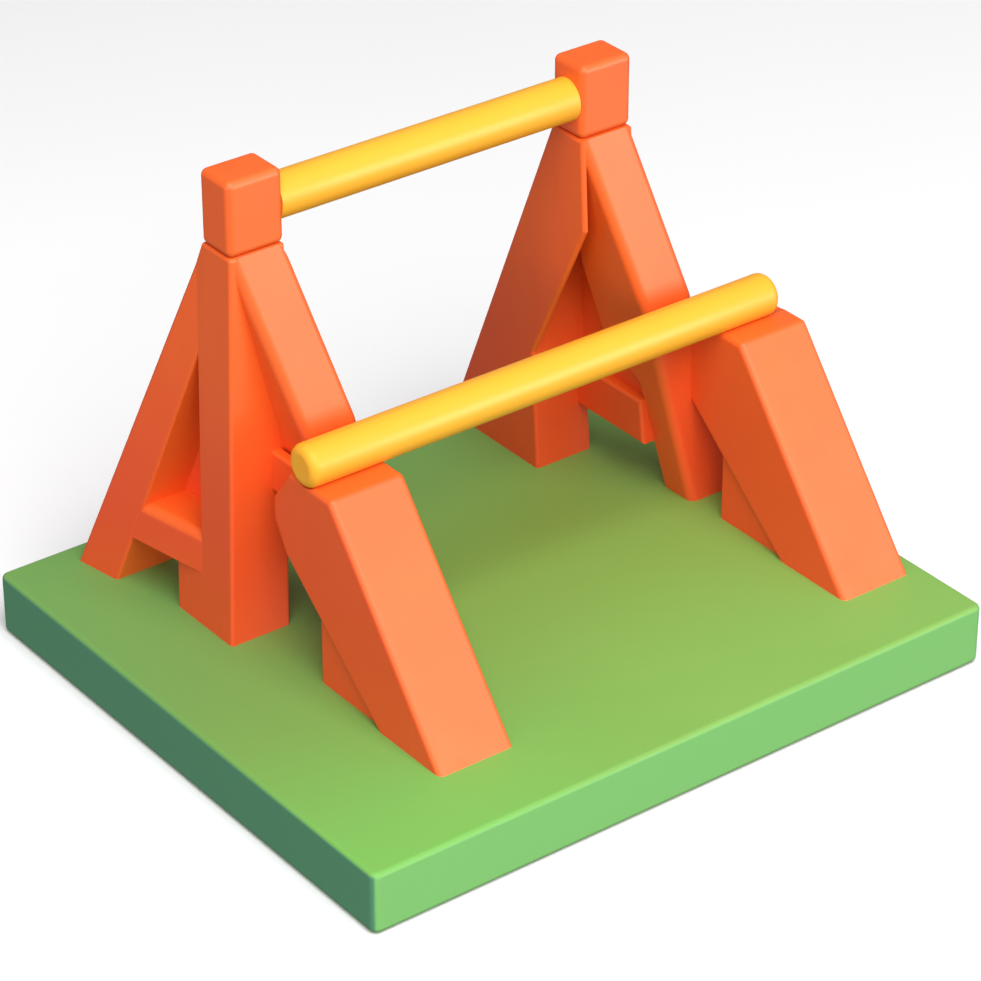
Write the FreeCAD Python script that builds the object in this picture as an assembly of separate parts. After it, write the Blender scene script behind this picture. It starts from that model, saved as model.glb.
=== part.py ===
import FreeCAD, Part
import math
import os

# Small uneven parallel bars on a base. Millimetres, +Z up, X along the rails, -Y to the front.
# The origin is under the middle of the base, on the floor.

# ---------------------------------------------------------------- base
base_length = 720.0
base_depth = 620.0
base_height = 64.0
foot_proud = 2.0
deck_thickness = 18.0
side_board_thickness = 22.0
bottom_panel_thickness = 9.0
base_corner_radius = 8.0
base_edge_radius = 5.0
joist_width = 46.0
rubber_foot_diameter = 36.0
rubber_foot_thickness = 6.0
rubber_foot_margin = 2.0
rubber_foot_edge_radius = 0.8

# ---------------------------------------------------------------- tall frames
timber_width = 60.0
timber_edge_radius = 3.5
left_frame_margin = 146.0
right_frame_margin = 175.0
frame_front_y = 58.0
shoulder_height = 409.0
front_batter = 6.0
post_depth = 54.0
post_outer_lean = 10.0
post_inner_lean = 3.0
post_foot_depth = 98.0
post_foot_height = 58.0
back_leg_margin = 26.0
back_leg_foot_depth = 54.0
back_leg_splay_angle = 10.5
left_crotch_drop = 114.0
crossbar_height = 42.0
crossbar_recess = 4.0
crossbar_top_radius = 10.0
web_thickness = 14.0
right_leg_margin = 14.0
right_leg_foot_depth = 146.0
right_leg_inner_lean = 22.0
right_leg_outer_lean = 30.0
right_heel_height = 137.0
right_crotch_drop = 99.0
right_cheek_thickness = 5.0
right_rebate_drop = 112.0
right_neck_drop = 14.0
right_neck_reach = 40.0
right_crossbar_thickness = 30.0
right_crossbar_height = 50.0
right_crossbar_lap = 40.0
right_crossbar_proud = 12.0
front_leg_thickness = 40.0
front_leg_edge_radius = 9.0
front_leg_foot_y = 4.0
front_leg_rail_gap = 13.0
front_leg_knee_rise = 4.0
front_leg_drift = 103.0
haunch_drop = 61.0
haunch_length = 85.0
haunch_foot_length = 34.0
haunch_high_reach = 47.0
haunch_low_reach = 35.0

# ---------------------------------------------------------------- head blocks and their posts
head_depth = 46.0
head_height = 75.0
head_edge_radius = 7.0
head_lift = 50.0
stem_diameter = 16.0
left_stem_offset = 2.0
right_stem_offset = 10.0
stem_in_head = 40.0
stem_past_clamp = 12.0
stem_well_clearance = 1.0
bush_wall = 3.0
bush_length = 60.0
bush_clearance = 0.08
stem_pin_diameter = 5.0
stem_pin_height = 11.0

# ---------------------------------------------------------------- clamp screws
clamp_drop = 46.0
clamp_stud_diameter = 8.0
clamp_thread_clearance = 0.08
clamp_tip_gap = 0.2
clamp_nut_diameter = 12.0
clamp_nut_length = 10.0
clamp_passage_clearance = 0.4
knob_diameter = 20.0
knob_thickness = 12.0
knob_standoff = 1.5
knob_lobes = 6
knob_scallop_radius = 4.2
knob_edge_radius = 1.2

# ---------------------------------------------------------------- rails
rail_diameter = 43.0
rail_spigot_diameter = 30.0
rail_socket_depth = 16.0
rail_fit = 0.15
high_rail_rise = 36.0
rail_pin_diameter = 8.0
low_rail_y = -22.0
low_rail_height = 228.0
low_rail_left_overhang = 3.0
low_rail_right_overhang = -16.0
rail_end_radius = 9.0

# ---------------------------------------------------------------- low supports
low_width = 84.0
low_edge_radius = 6.0
left_low_margin = 176.0
right_low_margin = 61.0
low_foot_margin = 84.0
low_foot_depth = 98.0
low_head_front_y = -62.0
low_rail_rise = 18.0
low_head_flat = 65.0
low_head_rear_y = 30.0
low_chamfer_drop = 38.0
low_head_rear_height = 22.0
low_back_knee_y = 12.0
low_back_knee_height = 118.0
saddle_clearance = 0.3
heel_rear_y = -34.0
heel_inset = 6.0
tie_thickness = 12.0
tie_gap = 1.5
tie_drop = 12.0
tie_height = 42.0
tie_edge_radius = 3.0

# ---------------------------------------------------------------- fixings
frame_bolt_diameter = 8.0
bolt_in_foot = 28.0
bolt_head_diameter = 14.0
bolt_head_height = 4.5
bolt_counterbore_diameter = 18.0
bolt_counterbore_depth = 8.0
bolt_clearance = 0.4
insert_wall = 2.0
insert_length = 22.0
thread_clearance = 0.1
dowel_diameter = 10.0
dowel_length = 36.0
dowel_clearance = 0.1
screw_diameter = 4.0
screw_head_diameter = 8.0
screw_head_height = 2.4
screw_head_clearance = 0.2
screw_bite = 14.0
panel_screw_margin = 160.0
housing_screw_diameter = 5.0
housing_screw_length = 52.0
housing_screw_height = 150.0

# ---------------------------------------------------------------- sizes that follow
half_length = base_length / 2
half_depth = base_depth / 2
inner_length = half_length - side_board_thickness
inner_depth = half_depth - side_board_thickness
left_frame_x = left_frame_margin - half_length
right_frame_x = half_length - right_frame_margin
left_low_x = left_low_margin - half_length
right_low_x = half_length - right_low_margin
low_foot_front_y = low_foot_margin - half_depth
deck_top = foot_proud + base_height
deck_bottom = deck_top - deck_thickness
joist_bottom = foot_proud + bottom_panel_thickness
rail_radius = rail_diameter / 2
stem_radius = stem_diameter / 2
stem_y = frame_front_y + head_depth / 2
frame_back_y = frame_front_y + head_depth
post_back_y = frame_front_y + post_depth
left_leg_foot_y = half_depth - back_leg_margin
right_leg_foot_y = half_depth - right_leg_margin
left_crotch_height = shoulder_height - left_crotch_drop
right_crotch_height = shoulder_height - right_crotch_drop
clamp_height = shoulder_height - clamp_drop
stem_below_head = clamp_drop + head_lift + stem_past_clamp
high_rail_height = shoulder_height + high_rail_rise
front_leg_knee_y = low_rail_y + rail_radius + front_leg_rail_gap
front_leg_knee_height = low_rail_height + front_leg_knee_rise
low_rail_start_x = left_low_x - low_width / 2 - low_rail_left_overhang
low_rail_end_x = right_low_x + low_width / 2 + low_rail_right_overhang
low_head_height = low_rail_height - low_rail_rise
panel_screw_row_y = half_depth - panel_screw_margin
rubber_foot_row_y = inner_depth - rubber_foot_diameter / 2 - rubber_foot_margin
front_leg_foot_mid_y = front_leg_foot_y + front_leg_thickness / 2
back_leg_splay = -math.tan(math.radians(back_leg_splay_angle))
left_foot_middles_x = left_frame_x - (post_outer_lean + post_inner_lean) / 2
left_leg_set_back = left_leg_foot_y - back_leg_foot_depth / 2 - post_back_y
left_joist_x = left_foot_middles_x + back_leg_splay * left_leg_set_back / 2
right_joist_x = right_frame_x + (right_leg_inner_lean + right_leg_outer_lean) / 2
X = FreeCAD.Vector(1, 0, 0)
Y = FreeCAD.Vector(0, 1, 0)
Z = FreeCAD.Vector(0, 0, 1)

nodes = {}


def between(start, end, share):
    """The number that lies a share of the way from start to end."""
    return start + (end - start) * share


def height_share(top, bottom, height):
    return (top - height) / (top - bottom)


def front_face_y(height):
    """Where the front face of a tall frame is at one height. It leans back a little."""
    return frame_front_y + front_batter * height_share(shoulder_height, 0, height)


def board(outline, top_span, foot_span, splay=0.0, hinge_y=0.0):
    """A board with a (y, height) side view, height taken from the deck.

    Seen from the front it goes from its x span at the shoulder to its x span at the deck.
    A splayed board moves sideways by its splay for each mm it goes back from its hinge line."""
    shift = splay * (-half_depth - hinge_y)
    side_corners = [FreeCAD.Vector(-half_length, y, deck_top + height) for y, height in outline]
    front_corners = [FreeCAD.Vector(x + shift, -half_depth, deck_top + height)
                     for x, height in ((top_span[0], shoulder_height), (top_span[1], shoulder_height),
                                       (foot_span[1], 0), (foot_span[0], 0))]
    side_view = Part.Face(Part.makePolygon(side_corners + side_corners[:1])).extrude(X * base_length)
    front_face = Part.Face(Part.makePolygon(front_corners + front_corners[:1]))
    front_view = front_face.extrude((Y + X * splay) * base_depth)
    return side_view.common(front_view)


def span(middle, width, lean_low=0.0, lean_high=0.0):
    """The x span of a board round its middle, with each side moved out by its own lean."""
    return (middle - width / 2 - lean_low, middle + width / 2 + lean_high)


def block(low, high):
    size = [b - a for a, b in zip(low, high)]
    return Part.makeBox(*size, FreeCAD.Vector(*low))


def rod(diameter, start, direction, length):
    return Part.makeCylinder(diameter / 2, length, FreeCAD.Vector(*start), direction)


def edge_is_free(edge, neighbours):
    """True where no neighbour touches the edge anywhere along it."""
    first, last = edge.ParameterRange
    for share in (0.1, 0.3, 0.5, 0.7, 0.9):
        spot = Part.Vertex(edge.valueAt(between(first, last, share)))
        if any(spot.distToShape(other)[0] < 0.05 for other in neighbours):
            return False
    return True


def soften(shape, radius, neighbours=()):
    """Rounds the edges that show, and leaves the edges in a joint sharp."""
    edges = [edge for edge in shape.Edges if edge_is_free(edge, neighbours)]
    return shape.makeFillet(radius, edges)


def drill(name, *cutters):
    for cutter in cutters:
        nodes[name] = nodes[name].cut(cutter)


def group(name, solids):
    nodes[name] = Part.makeCompound(solids)


# ---------------------------------------------------------------- base: deck, sides, joists
def rounded_slab(low_z, high_z):
    slab = block((-half_length, -half_depth, low_z), (half_length, half_depth, high_z))
    upright = [e for e in slab.Edges if abs(e.tangentAt(e.FirstParameter).z) > 0.99]
    return slab.makeFillet(base_corner_radius, upright)


def ring_edges(shape, height):
    """The outer edges of a slab at one height."""
    return [e for e in shape.Edges if abs(e.BoundBox.ZMin - height) < 0.01 and e.BoundBox.ZLength < 0.01]


deck = rounded_slab(deck_bottom, deck_top)
nodes["deck_panel"] = deck.makeFillet(base_edge_radius, ring_edges(deck, deck_top))
plain_deck = block((-half_length, -half_depth, deck_bottom), (half_length, half_depth, deck_top))

skirt = rounded_slab(foot_proud, deck_bottom)
skirt = skirt.makeFillet(base_edge_radius, ring_edges(skirt, foot_proud))
side_spans = {
    "front_side_board": ((-half_length, -half_depth), (half_length, -inner_depth)),
    "rear_side_board": ((-half_length, inner_depth), (half_length, half_depth)),
    "left_end_board": ((-half_length, -inner_depth), (-inner_length, inner_depth)),
    "right_end_board": ((inner_length, -inner_depth), (half_length, inner_depth)),
}
for name, (low, high) in side_spans.items():
    nodes[name] = skirt.common(block(low + (foot_proud,), high + (deck_bottom,)))

nodes["bottom_panel"] = block((-inner_length, -inner_depth, foot_proud),
                              (inner_length, inner_depth, joist_bottom))
front_leg_feet_x = {"left": left_frame_x + front_leg_drift, "right": right_frame_x + front_leg_drift}
joist_x = {
    "joist_1": left_joist_x,
    "joist_2": left_low_x,
    "joist_3": front_leg_feet_x["left"],
    "joist_4": (front_leg_feet_x["left"] + right_joist_x) / 2,
    "joist_5": right_joist_x,
    "joist_6": (front_leg_feet_x["right"] + right_low_x) / 2,
}
for name, x in joist_x.items():
    nodes[name] = block((x - joist_width / 2, -inner_depth, joist_bottom),
                        (x + joist_width / 2, inner_depth, deck_bottom))

# ---------------------------------------------------------------- left tall frame
# A side of the left frame that faces out has a lean to the left, one that faces in leans after it.
shoulder_span = span(left_frame_x, timber_width)
post_foot_span = span(left_frame_x, timber_width, post_outer_lean, -post_inner_lean)
leg_slope = (left_leg_foot_y - frame_back_y) / shoulder_height
slope_at_post = shoulder_height - (post_depth - head_depth) / leg_slope
left_leg_inner_y = left_leg_foot_y - back_leg_foot_depth

post_outline = [(front_face_y(0), 0), (frame_front_y, shoulder_height), (frame_back_y, shoulder_height),
                (post_back_y, slope_at_post), (post_back_y, post_foot_height),
                (frame_front_y + post_foot_depth, post_foot_height),
                (frame_front_y + post_foot_depth, 0)]
back_leg_outline = [(post_back_y, slope_at_post), (left_leg_foot_y, 0), (left_leg_inner_y, 0),
                    (post_back_y, left_crotch_height)]


def inner_leg_y(height):
    """Where the inner face of the left back leg is at one height."""
    return between(post_back_y, left_leg_inner_y, height_share(left_crotch_height, 0, height))


crossbar_top = post_foot_height + crossbar_height
crossbar_outline = [(post_back_y, post_foot_height), (post_back_y, crossbar_top),
                    (inner_leg_y(crossbar_top), crossbar_top),
                    (inner_leg_y(post_foot_height), post_foot_height)]
web_outline = [(post_back_y, crossbar_top), (post_back_y, left_crotch_height),
               (inner_leg_y(crossbar_top), crossbar_top)]

# The back leg, the crossbar and the web are splayed from the rear face of the post.
# The crossbar is flush with the post and the leg outside, and with the web inside.
web_top_span = (shoulder_span[1] - crossbar_recess - web_thickness, shoulder_span[1] - crossbar_recess)
web_foot_span = (post_foot_span[1] - crossbar_recess - web_thickness, post_foot_span[1] - crossbar_recess)
crossbar_top_span = (shoulder_span[0], web_top_span[1])
crossbar_foot_span = (post_foot_span[0], web_foot_span[1])

post = board(post_outline, shoulder_span, post_foot_span)
back_leg = board(back_leg_outline, shoulder_span, post_foot_span, back_leg_splay, post_back_y)
crossbar = board(crossbar_outline, crossbar_top_span, crossbar_foot_span, back_leg_splay, post_back_y)
web = board(web_outline, web_top_span, web_foot_span, back_leg_splay, post_back_y)

# Both front legs bend at a knee behind the low rail and drift to the right as they go down.


def front_leg_back_y(height):
    """Where the rear face of a front leg is at one height below its knee."""
    share = height_share(front_leg_knee_height, 0, height)
    return between(front_leg_knee_y, front_leg_foot_y, share) + front_leg_thickness


knee_back_y = front_leg_knee_y + front_leg_thickness
joint_share = front_leg_thickness / (frame_front_y - front_leg_knee_y)
front_joint_height = between(shoulder_height, front_leg_knee_height, joint_share)
front_leg_outline = [(frame_front_y, shoulder_height),
                     (front_face_y(front_joint_height), front_joint_height),
                     (knee_back_y, front_leg_knee_height),
                     (front_leg_foot_y + front_leg_thickness, 0), (front_leg_foot_y, 0),
                     (front_leg_knee_y, front_leg_knee_height)]

# Each has a haunch behind its knee. The right one fills the rebate in the right back leg.
right_heel_y = right_leg_foot_y - right_leg_foot_depth
right_rebate_top = shoulder_height - right_rebate_drop
rebate_share = height_share(right_crotch_height, right_heel_height, right_rebate_top)
slope_at_rebate = between(front_face_y(right_crotch_height), right_heel_y, rebate_share)
haunch_top = right_crotch_height - haunch_drop
haunch_low = haunch_top - haunch_length
haunch_foot = haunch_low - haunch_foot_length
haunch_rear = [(slope_at_rebate, right_rebate_top), (frame_front_y + haunch_high_reach, haunch_top),
               (frame_front_y + haunch_low_reach, haunch_low), (front_leg_back_y(haunch_foot), haunch_foot)]
haunch_outline = [(front_face_y(right_crotch_height), right_crotch_height)] + haunch_rear
haunch_outline += [(front_leg_knee_y + front_leg_thickness / 2, front_leg_knee_height)]
front_leg_spans = {
    side: (span(x, timber_width), span(x + front_leg_drift, timber_width))
    for side, x in (("left", left_frame_x), ("right", right_frame_x))
}
front_legs = {side: board(front_leg_outline, *spans) for side, spans in front_leg_spans.items()}
haunches = {side: board(haunch_outline, *spans) for side, spans in front_leg_spans.items()}
haunches["left"] = haunches["left"].cut(post)

nodes["left_post"] = soften(post, timber_edge_radius, [plain_deck, back_leg, crossbar])
nodes["left_back_leg"] = soften(back_leg, timber_edge_radius, [plain_deck, post])
crossbar_rim = [e for e in crossbar.Edges
                if abs(e.CenterOfMass.z - deck_top - crossbar_top) < 0.01
                and e.CenterOfMass.x < shoulder_span[0]]
nodes["left_crossbar"] = crossbar.makeFillet(crossbar_top_radius, crossbar_rim)
nodes["left_web_panel"] = web
left_front_leg = soften(front_legs["left"], front_leg_edge_radius, [plain_deck, post, haunches["left"]])
nodes["left_front_leg"] = left_front_leg.fuse(haunches["left"]).removeSplitter()

# ---------------------------------------------------------------- right tall frame
right_shoulder_span = span(right_frame_x, timber_width)
right_foot_span = span(right_frame_x, timber_width, -right_leg_inner_lean, right_leg_outer_lean)
right_back_leg_outline = [(frame_front_y, shoulder_height), (frame_back_y, shoulder_height),
                          (right_leg_foot_y, 0), (right_heel_y, 0), (right_heel_y, right_heel_height),
                          (front_face_y(right_crotch_height), right_crotch_height)]
neck_rear = [(frame_front_y, shoulder_height - right_neck_drop),
             (frame_front_y + right_neck_reach, right_rebate_top)]
rebate_outline = neck_rear + [(right_heel_y, right_rebate_top), (right_heel_y, 0), (frame_front_y, 0)]
rebate = board(rebate_outline, (right_shoulder_span[0] + right_cheek_thickness, right_shoulder_span[1]),
               (right_foot_span[0] + right_cheek_thickness, right_foot_span[1]))
whole_back_leg = board(right_back_leg_outline, right_shoulder_span, right_foot_span)
right_back_leg = whole_back_leg.cut(rebate)
# Above the rebate the haunch runs on as a neck, up behind the thin cheek of the back leg.
neck_outline = neck_rear + [(frame_front_y + haunch_high_reach, haunch_top), (frame_front_y, haunch_top)]
neck = board(neck_outline, *front_leg_spans["right"]).common(rebate)
haunches["right"] = haunches["right"].fuse(neck).removeSplitter()

# The right crossbar is notched round the outer face of the back leg and butts on the front leg.
right_crossbar_top = post_foot_height + right_crossbar_height
right_crossbar_outline = [(front_leg_back_y(post_foot_height), post_foot_height),
                          (front_leg_back_y(right_crossbar_top), right_crossbar_top),
                          (right_heel_y + right_crossbar_lap, right_crossbar_top),
                          (right_heel_y + right_crossbar_lap, post_foot_height)]
right_crossbar = board(right_crossbar_outline,
                       (right_shoulder_span[1] - right_crossbar_proud,
                        right_shoulder_span[1] + right_crossbar_thickness),
                       (right_foot_span[1] - right_crossbar_proud,
                        right_foot_span[1] + right_crossbar_thickness)).cut(whole_back_leg)
# The web stands on the crossbar and closes the bay above it.
right_web_outline = [(right_heel_y + right_crossbar_lap, right_crossbar_top),
                     (front_leg_back_y(right_crossbar_top), right_crossbar_top),
                     *reversed(haunch_rear), (right_heel_y + right_crossbar_lap, right_rebate_top)]
right_web = board(right_web_outline, (right_shoulder_span[1], right_shoulder_span[1] + web_thickness),
                  (right_foot_span[1], right_foot_span[1] + web_thickness))
nodes["right_web_panel"] = right_web
right_joints = [plain_deck, front_legs["right"], haunches["right"], right_crossbar, right_web]
nodes["right_back_leg"] = soften(whole_back_leg, timber_edge_radius, right_joints).cut(rebate)
nodes["right_crossbar"] = soften(right_crossbar, timber_edge_radius,
                                 [right_back_leg, front_legs["right"], right_web])
right_front_leg = soften(front_legs["right"], front_leg_edge_radius,
                         [plain_deck, right_back_leg, right_web, haunches["right"]])
nodes["right_front_leg"] = right_front_leg.fuse(haunches["right"]).removeSplitter()

# ---------------------------------------------------------------- low supports and low rail
low_foot_rear_y = low_foot_front_y + low_foot_depth
low_flat_rear_y = low_head_front_y + low_head_flat
low_chamfer_foot = low_head_height - low_chamfer_drop
low_outline = [(low_foot_front_y, 0), (low_head_front_y, low_head_height),
               (low_flat_rear_y, low_head_height), (low_head_rear_y, low_chamfer_foot),
               (low_head_rear_y, low_chamfer_foot - low_head_rear_height),
               (low_back_knee_y, low_back_knee_height), (low_foot_rear_y, 0)]
heel_top = low_back_knee_height * (heel_rear_y - low_foot_rear_y) / (low_back_knee_y - low_foot_rear_y)
heel_outline = [(low_foot_rear_y, 0), (heel_rear_y, 0), (heel_rear_y, heel_top)]
saddle = rod(rail_diameter + 2 * saddle_clearance, (-half_length, low_rail_y, deck_top + low_rail_height),
             X, base_length)

low_centres = {"left": left_low_x, "right": right_low_x}
for side, x in low_centres.items():
    low_span = span(x, low_width)
    heel_span = span(x, low_width - 2 * heel_inset)
    support = board(low_outline, low_span, low_span)
    heel = board(heel_outline, heel_span, heel_span)
    # The head is housed round the front leg that stands behind it, and the rail lies in its saddle.
    name = side + "_low_support"
    nodes[name] = soften(support, low_edge_radius, [plain_deck])
    drill(name, front_legs[side], saddle)
    nodes[side + "_low_heel"] = soften(heel, timber_edge_radius, [plain_deck, support])

tie_top = low_head_height - tie_drop
tie_bottom = tie_top - tie_height
tie_front_y = between(low_flat_rear_y, low_head_rear_y, tie_drop / low_chamfer_drop)
tie_outline = [(tie_front_y, tie_top), (front_face_y(tie_top), tie_top),
               (front_face_y(tie_bottom), tie_bottom), (low_head_rear_y, tie_bottom),
               (low_head_rear_y, low_chamfer_foot)]
# It ends short of the front leg, which stands nearest to it at the tie's top.
tie_end_x = shoulder_span[0] + front_leg_drift * height_share(shoulder_height, 0, tie_top) - tie_gap
tie_span = (tie_end_x - tie_thickness, tie_end_x)
tie = board(tie_outline, tie_span, tie_span)
low_head = board(low_outline, span(left_low_x, low_width), span(left_low_x, low_width))
nodes["tie_block"] = soften(tie, tie_edge_radius, [low_head, post])

low_rail = rod(rail_diameter, (low_rail_start_x, low_rail_y, deck_top + low_rail_height), X,
               low_rail_end_x - low_rail_start_x)
nodes["low_rail"] = low_rail.makeFillet(rail_end_radius, low_rail.Edges)

# ---------------------------------------------------------------- head blocks, high rail and stems
high_rail_z = deck_top + high_rail_height
high_rail_start = shoulder_span[1] - rail_socket_depth
high_rail_end = right_shoulder_span[0] + rail_socket_depth
high_rail = rod(rail_diameter, (shoulder_span[1], stem_y, high_rail_z), X,
                right_shoulder_span[0] - shoulder_span[1])
spigots = rod(rail_spigot_diameter, (high_rail_start, stem_y, high_rail_z), X,
              high_rail_end - high_rail_start)
nodes["high_rail"] = high_rail.fuse(spigots).removeSplitter()
shoulder_z = deck_top + shoulder_height
stem_bottom_z = shoulder_z - stem_below_head
bush_diameter = stem_diameter + 2 * (bush_clearance + bush_wall)
well_diameter = stem_diameter + 2 * stem_well_clearance
clamp_z = deck_top + clamp_height
leg_back_at_clamp = {
    "left": between(frame_back_y, left_leg_foot_y, height_share(shoulder_height, 0, clamp_height)),
    "right": between(frame_back_y, right_leg_foot_y, height_share(shoulder_height, 0, clamp_height)),
}
stem_x = {"left": left_frame_x - left_stem_offset, "right": right_frame_x + right_stem_offset}
head_x = {"left": shoulder_span, "right": right_shoulder_span}
socket_start = {"left": high_rail_start - rail_fit, "right": right_shoulder_span[0]}
sleeve_host = {"left": "left_post", "right": "right_back_leg"}
rail_pin_x = {"left": high_rail_start + rail_socket_depth / 2, "right": high_rail_end - rail_socket_depth / 2}
rail_pins = []
stem_pins = []
clamp_nuts = []


def lobed_knob(x, front_y, z):
    """A round knob with scallops for the fingers, turned about Y."""
    knob = rod(knob_diameter, (x, front_y, z), Y, knob_thickness)
    knob = knob.makeFillet(knob_edge_radius, knob.Edges)
    for lobe in range(knob_lobes):
        turn = 2 * math.pi * lobe / knob_lobes
        reach = knob_diameter / 2 + knob_scallop_radius * 0.6
        spot = (x + reach * math.cos(turn), front_y - 1, z + reach * math.sin(turn))
        knob = knob.cut(rod(2 * knob_scallop_radius, spot, Y, knob_thickness + 2))
    return knob


for side in ("left", "right"):
    x = stem_x[side]
    head = block((head_x[side][0], frame_front_y, shoulder_z),
                 (head_x[side][1], frame_back_y, shoulder_z + head_height))
    socket = rod(rail_spigot_diameter + 2 * rail_fit, (socket_start[side], stem_y, high_rail_z), X,
                 rail_socket_depth + rail_fit)
    stem = rod(stem_diameter, (x, stem_y, stem_bottom_z), Z, stem_below_head + stem_in_head)
    stem_hole = rod(stem_diameter + 2 * dowel_clearance, (x, stem_y, shoulder_z), Z, stem_in_head)
    pin_at = (rail_pin_x[side], stem_y - rail_spigot_diameter / 4, high_rail_z)
    rail_pin = rod(rail_pin_diameter, pin_at, Y, frame_back_y - pin_at[1])
    rail_pin_hole = rod(rail_pin_diameter + 2 * dowel_clearance, pin_at, Y, frame_back_y - pin_at[1])
    cross_at = (x, frame_front_y + stem_radius, shoulder_z + stem_pin_height)
    stem_pin = rod(stem_pin_diameter, cross_at, Y, frame_back_y - cross_at[1])
    stem_pin_hole = rod(stem_pin_diameter + 2 * dowel_clearance, cross_at, Y, frame_back_y - cross_at[1])

    head_name = side + "_head_block"
    nodes[head_name] = soften(head, head_edge_radius)
    drill(head_name, socket, stem_hole, rail_pin_hole, stem_pin_hole)
    drill("high_rail", rail_pin_hole)
    nodes[side + "_stem"] = stem.cut(stem_pin_hole)
    rail_pins.append(rail_pin)
    stem_pins.append(stem_pin)

    # The stem slides in a bush let into the frame, over a well that clears it.
    host = sleeve_host[side]
    sleeve = rod(bush_diameter, (x, stem_y, shoulder_z - bush_length), Z, bush_length)
    bore = rod(stem_diameter + 2 * bush_clearance, (x, stem_y, shoulder_z - bush_length), Z, bush_length)
    well_depth = stem_below_head + stem_well_clearance
    well = rod(well_diameter, (x, stem_y, shoulder_z - well_depth), Z, well_depth)

    # The clamp screw runs through a nut behind the stem and presses on it through the bush.
    tip_y = stem_y + stem_radius + clamp_tip_gap
    knob_front = leg_back_at_clamp[side] + knob_diameter / 2 * leg_slope + knob_standoff
    stud_end = knob_front + knob_thickness / 2
    stud = rod(clamp_stud_diameter, (x, tip_y, clamp_z), Y, stud_end - tip_y)
    passage = rod(clamp_stud_diameter + 2 * clamp_passage_clearance, (x, tip_y, clamp_z), Y,
                  knob_front - tip_y)
    nut_start = post_back_y - clamp_nut_length
    nut = rod(clamp_nut_diameter, (x, nut_start, clamp_z), Y, clamp_nut_length)
    nut_bore = rod(clamp_stud_diameter + 2 * clamp_thread_clearance, (x, nut_start, clamp_z), Y,
                   clamp_nut_length)
    drill(host, sleeve, well, nut, passage)
    drill(side + "_front_leg", sleeve, well)
    drill("left_back_leg", passage)
    nodes[side + "_guide_bush"] = sleeve.cut(bore).cut(passage)
    clamp_nuts.append(nut.cut(nut_bore))
    nodes[side + "_clamp_stud"] = stud
    nodes[side + "_clamp_knob"] = lobed_knob(x, knob_front, clamp_z).cut(stud)
group("rail_pins", rail_pins)
group("stem_pins", stem_pins)
group("clamp_nuts", clamp_nuts)

# ---------------------------------------------------------------- frame bolts from below
post_foot_mid_y = frame_front_y + post_foot_depth / 2
left_leg_bolt_y = left_leg_inner_y + back_leg_foot_depth * 0.35
bolt_spots = [
    ("left_post", left_joist_x, post_foot_mid_y, "joist_1"),
    ("left_back_leg", left_joist_x, left_leg_bolt_y, "joist_1"),
    ("left_front_leg", front_leg_feet_x["left"], front_leg_foot_mid_y, "joist_3"),
    ("left_low_support", left_low_x, low_foot_front_y + low_foot_depth * 0.65, "joist_2"),
    ("left_low_heel", left_low_x, between(low_foot_rear_y, heel_rear_y, 0.75), "joist_2"),
    ("right_back_leg", right_joist_x, right_heel_y + right_leg_foot_depth * 0.2, "joist_5"),
    ("right_back_leg", right_joist_x, right_heel_y + right_leg_foot_depth * 0.65, "joist_5"),
    ("right_front_leg", front_leg_feet_x["right"], front_leg_foot_mid_y, "joist_6"),
    ("right_low_support", right_low_x, low_foot_front_y + low_foot_depth * 0.65, "joist_6"),
    ("right_low_heel", right_low_x, between(low_foot_rear_y, heel_rear_y, 0.75), "joist_6"),
]
bolts = []
inserts = []
for foot, x, y, joist in bolt_spots:
    seat_z = joist_bottom + bolt_counterbore_depth
    shank = rod(frame_bolt_diameter, (x, y, seat_z), Z, deck_top + bolt_in_foot - seat_z)
    head = rod(bolt_head_diameter, (x, y, seat_z - bolt_head_height), Z, bolt_head_height)
    hole = rod(frame_bolt_diameter + 2 * bolt_clearance, (x, y, joist_bottom), Z,
               deck_top + bolt_in_foot + 1 - joist_bottom)
    counterbore = rod(bolt_counterbore_diameter, (x, y, joist_bottom), Z, bolt_counterbore_depth)
    insert_bore = frame_bolt_diameter + 2 * thread_clearance
    insert = rod(insert_bore + 2 * insert_wall, (x, y, deck_top), Z, insert_length)
    thread = rod(insert_bore, (x, y, deck_top), Z, insert_length)
    drill(joist, hole, counterbore)
    drill("deck_panel", hole)
    drill(foot, hole, insert)
    bolts.append(shank.fuse(head).removeSplitter())
    inserts.append(insert.cut(thread))
group("frame_bolts", bolts)
group("threaded_inserts", inserts)

# ---------------------------------------------------------------- dowels in the glued joints
shoulder_joint_z = deck_top + between(left_crotch_height, slope_at_post, 0.3)
crossbar_z = deck_top + post_foot_height + crossbar_height / 2
crossbar_x = (post_foot_span[0] + web_foot_span[1]) / 2
crossbar_end_y = inner_leg_y(crossbar_z - deck_top)
dowel_depth = dowel_length / 2
dowel_spots = [
    (left_frame_x, post_back_y, shoulder_joint_z, ("left_post", "left_back_leg")),
    (crossbar_x, post_back_y, crossbar_z, ("left_post", "left_crossbar")),
    (crossbar_x + back_leg_splay * (crossbar_end_y - post_back_y), crossbar_end_y, crossbar_z,
     ("left_crossbar", "left_back_leg")),
]
dowels = []
for x, y, z, hosts in dowel_spots:
    dowels.append(rod(dowel_diameter, (x, y - dowel_depth, z), Y, dowel_length))
    hole = rod(dowel_diameter + 2 * dowel_clearance, (x, y - dowel_depth, z), Y, dowel_length)
    for host in hosts:
        drill(host, hole)
group("frame_dowels", dowels)

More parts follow.
